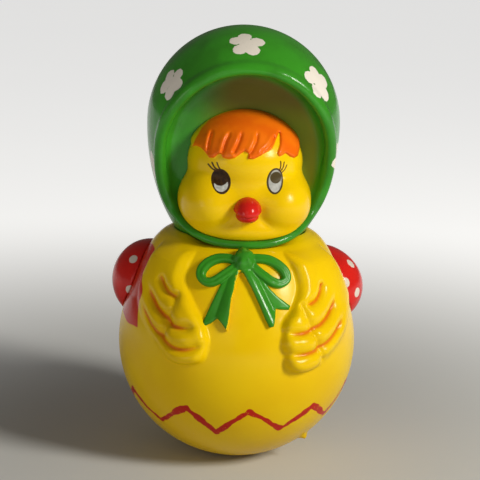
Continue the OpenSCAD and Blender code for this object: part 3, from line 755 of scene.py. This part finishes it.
V, Q = mesh_field(chin_f, (-19.0, -47.0, 55.5), (19.0, -22.0, 89.0), 0.3)
hb_, Xb, Sb = body_coords(V)
edge_l = spline([(-2.2, 78.3), (-3.4, 74.3), (-4.9, 68.3), (-5.6, 61.3), (-6.3, 58.0)], 5)
strip = poly_sd(Xb, Sb, surf(edge_l), closed=False) - 0.55
bare = np.minimum(hb_ - 0.35, np.maximum(strip, hb_ - 1.9))
chin_bow = make("neck_bow", V, [Q], attrs={"flower": np.full(len(V), 9.0), "mist": np.zeros(len(V)), "recess_top_shade": np.zeros(len(V)), "bare": bare}, replaces=("chin_bow",))

# ---------------------------------------------------------------- bow on the back


def cone_seg(P, a, ra, b, rb):
    a, b = np.array(a, float), np.array(b, float)
    e = b - a
    t = np.clip(((P - a) @ e) / (e @ e), 0, 1)
    return np.linalg.norm(P - a - t[:, None] * e, axis=1) - (ra + (rb - ra) * t)


def back_f(P):
    M = P.copy()
    M[:, 0] = np.abs(M[:, 0])
    lobe = np.where(P[:, 0] > 0, ell(P, (35.0, 10.6, 62.5), (14.3, 15.2, 14.3)), ell(P, (-33.9, 10.5, 64.1), (14.2, 15.2, 15.2)))
    f = smin(lobe, cone_seg(M, (32, 16, 65), 12.5, (21, 33.5, 63.5), 10.4), 4)
    f = smin(f, cone_seg(M, (21, 33.5, 63.5), 10.4, (4, 43.0, 62.5), 4.6), 3)
    # gathers run out from the knot
    ang = np.arctan2(M[:, 2] - 63.0, 48.0 - M[:, 1] + 0.0)
    rad = np.hypot(M[:, 0] - 2, M[:, 2] - 63)
    f = f + 0.7 * np.cos(np.arctan2(M[:, 2] - 63.0, M[:, 0] - 1.0) * 7) * smooth((26 - rad) / 14) * smooth((rad - 3) / 4) * smooth((P[:, 1] - 26) / 8)
    kn = ell(P, (0, 45.2, 62.8), (6.2, 5.8, 7.2)) + 0.35 * np.cos(P[:, 0] * 1.5) * smooth((P[:, 1] - 44) / 4)
    f = smin(f, kn, 0.8)
    for sx in (-1, 1):
        q = P * np.array([sx, 1, 1])
        h, X, S = body_coords(q)
        tail = surf([(1.0, 60), (4.5, 60), (19.5, 38.0), (14.0, 37.2), (10.0, 33.0), (6.0, 45.0)])
        d2 = poly_sd(X, S, tail)
        d2 = np.where(q[:, 1] > 0, d2, 30)
        f = smin(f, round_extrude(d2, h, 2.3 + 0.5 * np.cos((X - 8) * 0.6), 1.0), 0.8)
    h, _, _ = body_coords(P)
    return smax(f, -(h - 0.05), 0.3)


V, Q = mesh_field(back_f, (-49.0, -11.5, 27.0), (49.0, 53.5, 83.0), 0.6)
dots = np.full(len(V), 9.0)
DOTS = [((-40.2, 0.6, 74.2), 1.75), ((-41.0, -2.6, 62.7), 1.75), ((44.0, 4.8, 73.0), 1.9), ((40.6, -2.8, 66.9), 2.1), ((46.0, 1.0, 62.3), 1.8),
        ((-41.0, 20.0, 76.5), 2.2), ((-43.5, 22.0, 64.0), 2.2), ((-38.5, 26.5, 54.5), 2.2), ((-33.0, 32.5, 72.0), 2.2), ((-30.0, 38.0, 61.0), 2.2), ((-22.0, 40.5, 71.5), 2.1), ((-20.5, 42.5, 56.0), 2.1),
        ((41.0, 20.0, 76.5), 2.2), ((43.5, 22.0, 66.5), 2.2), ((38.5, 26.5, 54.5), 2.2), ((33.0, 32.5, 72.0), 2.2), ((30.0, 38.0, 61.0), 2.2), ((22.0, 40.5, 71.5), 2.1), ((20.5, 42.5, 56.0), 2.1),
        ((-33.0, 19.0, 78.6), 2.1), ((34.0, 17.0, 77.2), 2.1), ((-36.0, 15.0, 51.6), 2.1), ((36.5, 14.0, 51.8), 2.1), ((0, 51.2, 64.0), 1.8), ((-9.0, 46.0, 44.0), 1.8), ((9.0, 46.0, 44.0), 1.8)]
for c, R in DOTS:
    dots = np.minimum(dots, np.linalg.norm((V - np.array(c)) * np.array([1, 1, 1]), axis=1) - R)
# each dot is read on the surface, so the nearest surface point counts as its centre
for c, R in DOTS:
    dv = np.linalg.norm(V - np.array(c), axis=1)
    k = V[dv.argmin()]
    dots = np.minimum(dots, np.linalg.norm(V - k, axis=1) - R)
back_bow = make("rear_bow", V, [Q], attrs={"dots": dots}, replaces=("back_bow",))

# ---------------------------------------------------------------- materials


def srgb(r, g, b):
    return tuple(((c / 255) / 12.92 if c / 255 <= 0.04045 else ((c / 255 + 0.055) / 1.055) ** 2.4) for c in (r, g, b)) + (1,)


class Mat:
    def __init__(self, name, rough=0.25, metal=0.0, ior=1.49, coat=0.0, spec=0.5):
        self.m = bpy.data.materials.new(name)
        self.m.use_nodes = True
        self.t = self.m.node_tree
        self.n = self.t.nodes
        self.b = self.n["Principled BSDF"]
        self.b.inputs["Roughness"].default_value = rough
        self.b.inputs["Metallic"].default_value = metal
        self.b.inputs["IOR"].default_value = ior
        self.b.inputs["Coat Weight"].default_value = coat
        self.b.inputs["Coat Roughness"].default_value = 0.08
        self.b.inputs["Specular IOR Level"].default_value = spec
        self.co = self.n.new("ShaderNodeTexCoord").outputs["Object"]

    def link(self, a, b):
        self.t.links.new(a, b)

    def noise(self, scale, detail=3.0, rough=0.5, stretch=None):
        n = self.n.new("ShaderNodeTexNoise")
        n.inputs["Scale"].default_value = scale
        n.inputs["Detail"].default_value = detail
        n.inputs["Roughness"].default_value = rough
        src = self.co
        if stretch:
            mp = self.n.new("ShaderNodeMapping")
            mp.inputs["Scale"].default_value = stretch
            self.link(self.co, mp.inputs["Vector"])
            src = mp.outputs["Vector"]
        self.link(src, n.inputs["Vector"])
        return n.outputs["Fac"]

    def attr(self, name):
        a = self.n.new("ShaderNodeAttribute")
        a.attribute_name = name
        return a.outputs["Fac"]

    def ramp(self, v, a, b, lo=0.0, hi=1.0, smooth_step=True):
        r = self.n.new("ShaderNodeMapRange")
        r.interpolation_type = "SMOOTHSTEP" if smooth_step else "LINEAR"
        r.inputs["From Min"].default_value = a
        r.inputs["From Max"].default_value = b
        r.inputs["To Min"].default_value = lo
        r.inputs["To Max"].default_value = hi
        self.link(v, r.inputs["Value"])
        return r.outputs["Result"]

    def math(self, op, a, b=None):
        m = self.n.new("ShaderNodeMath")
        m.operation = op
        for i, v in enumerate((a, b)):
            if v is None:
                continue
            if isinstance(v, (int, float)):
                m.inputs[i].default_value = v
            else:
                self.link(v, m.inputs[i])
        return m.outputs["Value"]

    def mix(self, fac, a, b):
        m = self.n.new("ShaderNodeMix")
        m.data_type = "RGBA"
        if isinstance(fac, (int, float)):
            m.inputs["Factor"].default_value = fac
        else:
            self.link(fac, m.inputs["Factor"])
        for k, v in (("A", a), ("B", b)):
            sock = [s for s in m.inputs if s.name == k and s.type == "RGBA"][0]
            if isinstance(v, tuple):
                sock.default_value = v
            else:
                self.link(v, sock)
        return [s for s in m.outputs if s.type == "RGBA"][0]

    def paint(self, base, name, color, edge=0.12, wobble=0.0, strength=1.0):
        d = self.attr(name)
        if wobble:
            n = self.noise(900, 2)
            d = self.math("ADD", d, self.math("MULTIPLY", self.math("SUBTRACT", n, 0.5), wobble))
        f = self.ramp(d, edge, -edge, 0.0, strength)
        return self.mix(f, base, color), f

    def color(self, c):
        self.link(c, self.b.inputs["Base Color"])

    def rough(self, v):
        self.link(v, self.b.inputs["Roughness"])

    def bump(self, h, strength, dist=0.001):
        b = self.n.new("ShaderNodeBump")
        b.inputs["Strength"].default_value = strength
        b.inputs["Distance"].default_value = dist
        self.link(h, b.inputs["Height"])
        self.link(b.outputs["Normal"], self.b.inputs["Normal"])


YEL = (0.79, 0.520, 0.001, 1)
YEL2 = (0.76, 0.480, 0.001, 1)
RED = (0.50, 0.014, 0.008, 1)
GREEN = (0.036, 0.250, 0.014, 1)
GREEN2 = (0.030, 0.180, 0.012, 1)
WHITE = (0.72, 0.66, 0.58, 1)


def wear(m, base, dark, amount=0.35):
    """Fine scuffs and specks of dirt in the moulded surface."""
    sc = m.ramp(m.noise(1400, 4, 0.7, (1, 1, 0.35)), 0.66, 0.74)
    sp = m.ramp(m.noise(420, 5, 0.8), 0.74, 0.80)
    base = m.mix(m.math("MULTIPLY", sp, amount), base, dark)
    return base, m.math("MULTIPLY", sc, 0.12)


def yellow_material(name, kind):
    m = Mat(name, 0.24, spec=0.15)
    c = m.mix(m.ramp(m.noise(55, 3), 0.35, 0.68), YEL, YEL2)
    c, sc = wear(m, c, (0.30, 0.15, 0.01, 1))
    r = m.math("ADD", m.ramp(m.noise(90, 3), 0.3, 0.7, 0.19, 0.27), sc)
    if kind == "body":
        c = m.mix(m.ramp(m.attr("tint"), 0.05, 0.95, 0.0, 0.88), c, (0.62, 0.105, 0.004, 1))
        c = m.mix(m.ramp(m.attr("over"), 0.25, 0.8, 0.0, 0.97), c, (0.56, 0.012, 0.006, 1))
        worn = m.ramp(m.noise(700, 4, 0.7), 0.30, 0.38, 0.25, 1.0)
        d = m.math("ADD", m.attr("zig"), m.math("MULTIPLY", m.math("SUBTRACT", m.noise(520, 3), 0.5), 0.55))
        z = m.math("MULTIPLY", m.ramp(d, 0.10, -0.10), worn)
        c = m.mix(z, c, (0.47, 0.014, 0.006, 1))
        r = m.math("ADD", r, m.math("MULTIPLY", z, 0.05))
    if kind == "face":
        c = m.mix(m.ramp(m.attr("mist"), 0.1, 0.95, 0.0, 0.55), c, (0.18, 0.28, 0.008, 1))
        o = m.ramp(m.math("ADD", m.attr("orange"), m.math("MULTIPLY", m.math("SUBTRACT", m.noise(260, 3), 0.5), 0.5)), 0.22, -0.22)
        oc = m.mix(m.ramp(m.noise(120, 3), 0.35, 0.7), (0.83, 0.165, 0.004, 1), (0.76, 0.125, 0.004, 1))
        oc = m.mix(m.ramp(m.noise(640, 4, 0.75), 0.70, 0.76, 0, 0.5), oc, (0.25, 0.05, 0.01, 1))
        c = m.mix(o, c, oc)
        dark = m.ramp(m.attr("eyed"), 0.10, -0.10)
        rim = m.mix(m.ramp(m.noise(800, 2), 0.4, 0.6), (0.042, 0.019, 0.005, 1), (0.024, 0.010, 0.004, 1))
        rim = m.mix(m.ramp(m.attr("side"), 0.4, 0.6), rim, (0.060, 0.042, 0.012, 1))
        c = m.mix(dark, c, rim)
        g = m.ramp(m.attr("eyeg"), 0.12, -0.12)
        gc = m.mix(m.ramp(m.noise(500, 3), 0.35, 0.65), (0.50, 0.50, 0.46, 1), (0.33, 0.33, 0.30, 1))
        gc = m.mix(m.attr("eyelow"), (0.36, 0.355, 0.31, 1), gc)
        c = m.mix(g, c, gc)
        l = m.ramp(m.attr("lash"), 0.07, -0.07, 0.0, 0.95)
        c = m.mix(l, c, (0.06, 0.022, 0.006, 1))
        r = m.math("ADD", r, m.math("MULTIPLY", dark, 0.25))
    m.color(c)
    m.rough(r)
    m.bump(m.noise(240, 4, 0.55), 0.10, 0.0006)
    return m.m


def green_material(name, kind):
    m = Mat(name, 0.2, spec=0.22)
    c = m.mix(m.ramp(m.noise(70, 4), 0.35, 0.68), GREEN, GREEN2)
    c, sc = wear(m, c, (0.01, 0.05, 0.008, 1))
    m_ = m.ramp(m.attr("mist"), 0.05, 0.90, 0.0, 0.96)
    # painted shade: the overspray in the recess goes from olive to a darker brown towards the top, where the bonnet's
    # top shades it
    c = m.mix(m_, c, m.mix(m.attr("recess_top_shade"), (0.215, 0.245, 0.0003, 1), (0.135, 0.095, 0.0003, 1)))
    d = m.math("ADD", m.attr("flower"), m.math("MULTIPLY", m.math("SUBTRACT", m.noise(480, 3), 0.5), 0.7))
    worn = m.ramp(m.noise(380, 4, 0.7), 0.27, 0.36, 0.35, 1.0)
    f = m.math("MULTIPLY", m.ramp(d, 0.12, -0.12), worn)
    c = m.mix(f, c, WHITE)
    if kind == "bow":
        bare = m.ramp(m.math("ADD", m.attr("bare"), m.math("MULTIPLY", m.math("SUBTRACT", m.noise(700, 3), 0.5), 0.6)), 0.12, -0.12)
        c = m.mix(bare, c, YEL)
    # paint worn through to the yellow moulding
    chip = m.ramp(m.noise(330, 5, 0.75), 0.755, 0.775)
    c = m.mix(chip, c, (0.62, 0.45, 0.01, 1))
    r = m.math("ADD", m.ramp(m.noise(110, 3), 0.3, 0.7, 0.16, 0.25), sc)
    r = m.math("ADD", m.math("ADD", r, m.math("MULTIPLY", f, 0.15)), m.math("MULTIPLY", m_, 0.3))
    m.color(c)
    m.rough(r)
    h = m.math("ADD", m.noise(260, 4, 0.6), m.math("MULTIPLY", f, 0.5))
    m.bump(h, 0.16, 0.0006)
    return m.m


def red_material(name):
    m = Mat(name, 0.2, spec=0.22)
    c = m.mix(m.ramp(m.noise(80, 4), 0.35, 0.68), (0.62, 0.016, 0.010, 1), (0.52, 0.011, 0.008, 1))
    c, sc = wear(m, c, (0.12, 0.01, 0.008, 1))
    d = m.math("ADD", m.attr("dots"), m.math("MULTIPLY", m.math("SUBTRACT", m.noise(600, 3), 0.5), 0.5))
    worn = m.ramp(m.noise(800, 4, 0.7), 0.26, 0.38, 0.35, 1.0)
    f = m.math("MULTIPLY", m.ramp(d, 0.16, -0.16), worn)
    c = m.mix(f, c, (0.66, 0.58, 0.50, 1))
    chip = m.ramp(m.noise(300, 5, 0.75), 0.76, 0.78)
    c = m.mix(chip, c, (0.62, 0.40, 0.01, 1))
    r = m.math("ADD", m.ramp(m.noise(110, 3), 0.3, 0.7, 0.15, 0.25), sc)
    m.color(c)
    m.rough(r)
    m.bump(m.noise(260, 4, 0.6), 0.14, 0.0006)
    return m.m


def metal_material(name, a, b, rough, scale=600, stretch=(1, 1, 0.06), bump=0.15, metal=1.0):
    m = Mat(name, rough, metal)
    n = m.noise(scale, 4, 0.6, stretch)
    m.color(m.mix(m.ramp(n, 0.3, 0.7), a, b))
    m.rough(m.ramp(n, 0.3, 0.7, rough * 0.8, rough * 1.3))
    m.bump(n, bump, 0.0002)
    return m.m


Y_BODY = yellow_material("body_yellow", "body")
Y_FACE = yellow_material("face_yellow", "face")
Y_PLAIN = yellow_material("plain_yellow", "plain")
G_BONNET = green_material("bonnet_green", "bonnet")
G_BOW = green_material("bow_green", "bow")
R_BOW = red_material("bow_red")
ZINC = metal_material("zinc_steel", (0.52, 0.53, 0.52, 1), (0.40, 0.41, 0.41, 1), 0.38, 500, (1, 1, 1))
STEEL = metal_material("drawn_steel", (0.60, 0.59, 0.57, 1), (0.46, 0.45, 0.44, 1), 0.24, 900, (1, 1, 0.04))
BRASS = metal_material("turned_brass", (0.72, 0.50, 0.17, 1), (0.58, 0.38, 0.12, 1), 0.26, 900, (0.05, 0.05, 1))
IRON = metal_material("cast_iron", (0.11, 0.105, 0.10, 1), (0.05, 0.048, 0.045, 1), 0.62, 450, (1, 1, 1), 0.6, 0.6)
FELT = metal_material("pressed_felt", (0.26, 0.03, 0.025, 1), (0.15, 0.015, 0.015, 1), 0.95, 1500, (1, 1, 1), 0.8, 0.0)

for ob, mat in ((body_front, Y_BODY), (body_rear, Y_BODY), (face, Y_FACE), (bonnet_front, G_BONNET), (bonnet_rear, G_BONNET), (chin_bow, G_BOW), (back_bow, R_BOW), (beak, R_BOW)):
    ob.data.materials.clear()
    ob.data.materials.append(mat)

BY_SLOT = {"yellow_plastic": Y_PLAIN, "green_plastic": G_BONNET, "red_plastic": R_BOW, "cast_iron": IRON, "zinc_steel": ZINC, "bright_steel": STEEL, "brass": BRASS, "felt": FELT}
for part in frame["record"]["subparts"]:
    ob = frame["nodes"].get(part["node"])
    if ob is None:
        continue
    mat = BY_SLOT[part["material_slot"]]
    if len(ob.material_slots) == 0:
        ob.data.materials.append(mat)
    for s_ in ob.material_slots:
        s_.material = mat

# ---------------------------------------------------------------- floor, light, camera

bpy.ops.mesh.primitive_plane_add(size=14.0, location=(0, 0, -0.0002))
floor = bpy.context.object
floor.name = "floor"
fm = Mat("floor", 0.75, spec=0.15)
ln = fm.n.new("ShaderNodeVectorMath")
ln.operation = "LENGTH"
fm.link(fm.co, ln.inputs[0])
# painted shade: the floor's colour is darker grey near the toy and pale further out
pale = fm.mix(fm.ramp(fm.noise(3, 2), 0.3, 0.7), (0.80, 0.80, 0.79, 1), (0.78, 0.78, 0.775, 1))
fm.color(fm.mix(fm.ramp(ln.outputs["Value"], 0.05, 0.45), (0.62, 0.62, 0.61, 1), pale))
# painted light: from 0.07 m out the floor glows, brighter with distance, up to a strength of 0.66
fm.b.inputs["Emission Color"].default_value = (1, 1, 1, 1)
fm.link(fm.ramp(ln.outputs["Value"], 0.07, 0.48, 0.0, 0.66), fm.b.inputs["Emission Strength"])
floor.data.materials.append(fm.m)

world = bpy.data.worlds.new("studio")
bpy.context.scene.world = world
world.use_nodes = True
world.node_tree.nodes["Background"].inputs["Color"].default_value = (1.0, 0.96, 0.88, 1)
world.node_tree.nodes["Background"].inputs["Strength"].default_value = 0.11


def area(name, loc, target, size, power, color=(1, 1, 1), size_y=None):
    l = bpy.data.lights.new(name, "AREA")
    l.energy = power
    l.color = color
    l.shape = "RECTANGLE"
    l.size = size
    l.size_y = size_y or size
    o = bpy.data.objects.new(name, l)
    o.location = loc
    d = Vector(target) - Vector(loc)
    o.rotation_euler = d.to_track_quat("-Z", "Y").to_euler()
    bpy.context.scene.collection.objects.link(o)
    return o


area("window", (0.66, -0.52, 0.54), (0.0, 0.0, 0.09), 0.20, 8.2, (1.0, 0.975, 0.90), 0.28)
area("left_fill", (-0.75, -0.65, 0.14), (0, 0, 0.06), 0.3, 0.8, (1.0, 0.96, 0.88))
area("front_fill", (-0.35, -1.2, 0.45), (0, 0, 0.08), 0.5, 0.8, (1.0, 0.98, 0.95))

el, az, roll, D = math.radians(12), math.radians(-4), math.radians(1.87), 550.0
bvec = Vector((math.sin(az) * math.cos(el), -math.cos(az) * math.cos(el), math.sin(el)))
right = Vector((math.cos(az), math.sin(az), 0))
up = bvec.cross(right)
X = right * math.cos(roll) + up * math.sin(roll)
Yv = up * math.cos(roll) - right * math.sin(roll)
target = Vector((0, 0, 82))
C = target + bvec * D + X * 0.12 + Yv * 0.18
cam_data = bpy.data.cameras.new("camera")
cam_data.sensor_width = 36
cam_data.lens = 1453 * 36 / 480
cam_data.clip_start = 0.01
cam = bpy.data.objects.new("camera", cam_data)
cam.matrix_world = Matrix(((X.x, Yv.x, bvec.x, C.x * MM), (X.y, Yv.y, bvec.y, C.y * MM), (X.z, Yv.z, bvec.z, C.z * MM), (0, 0, 0, 1)))
bpy.context.scene.collection.objects.link(cam)
bpy.context.scene.camera = cam
bpy.context.scene.view_settings.view_transform = "Standard"
bpy.context.scene.view_settings.look = "None"
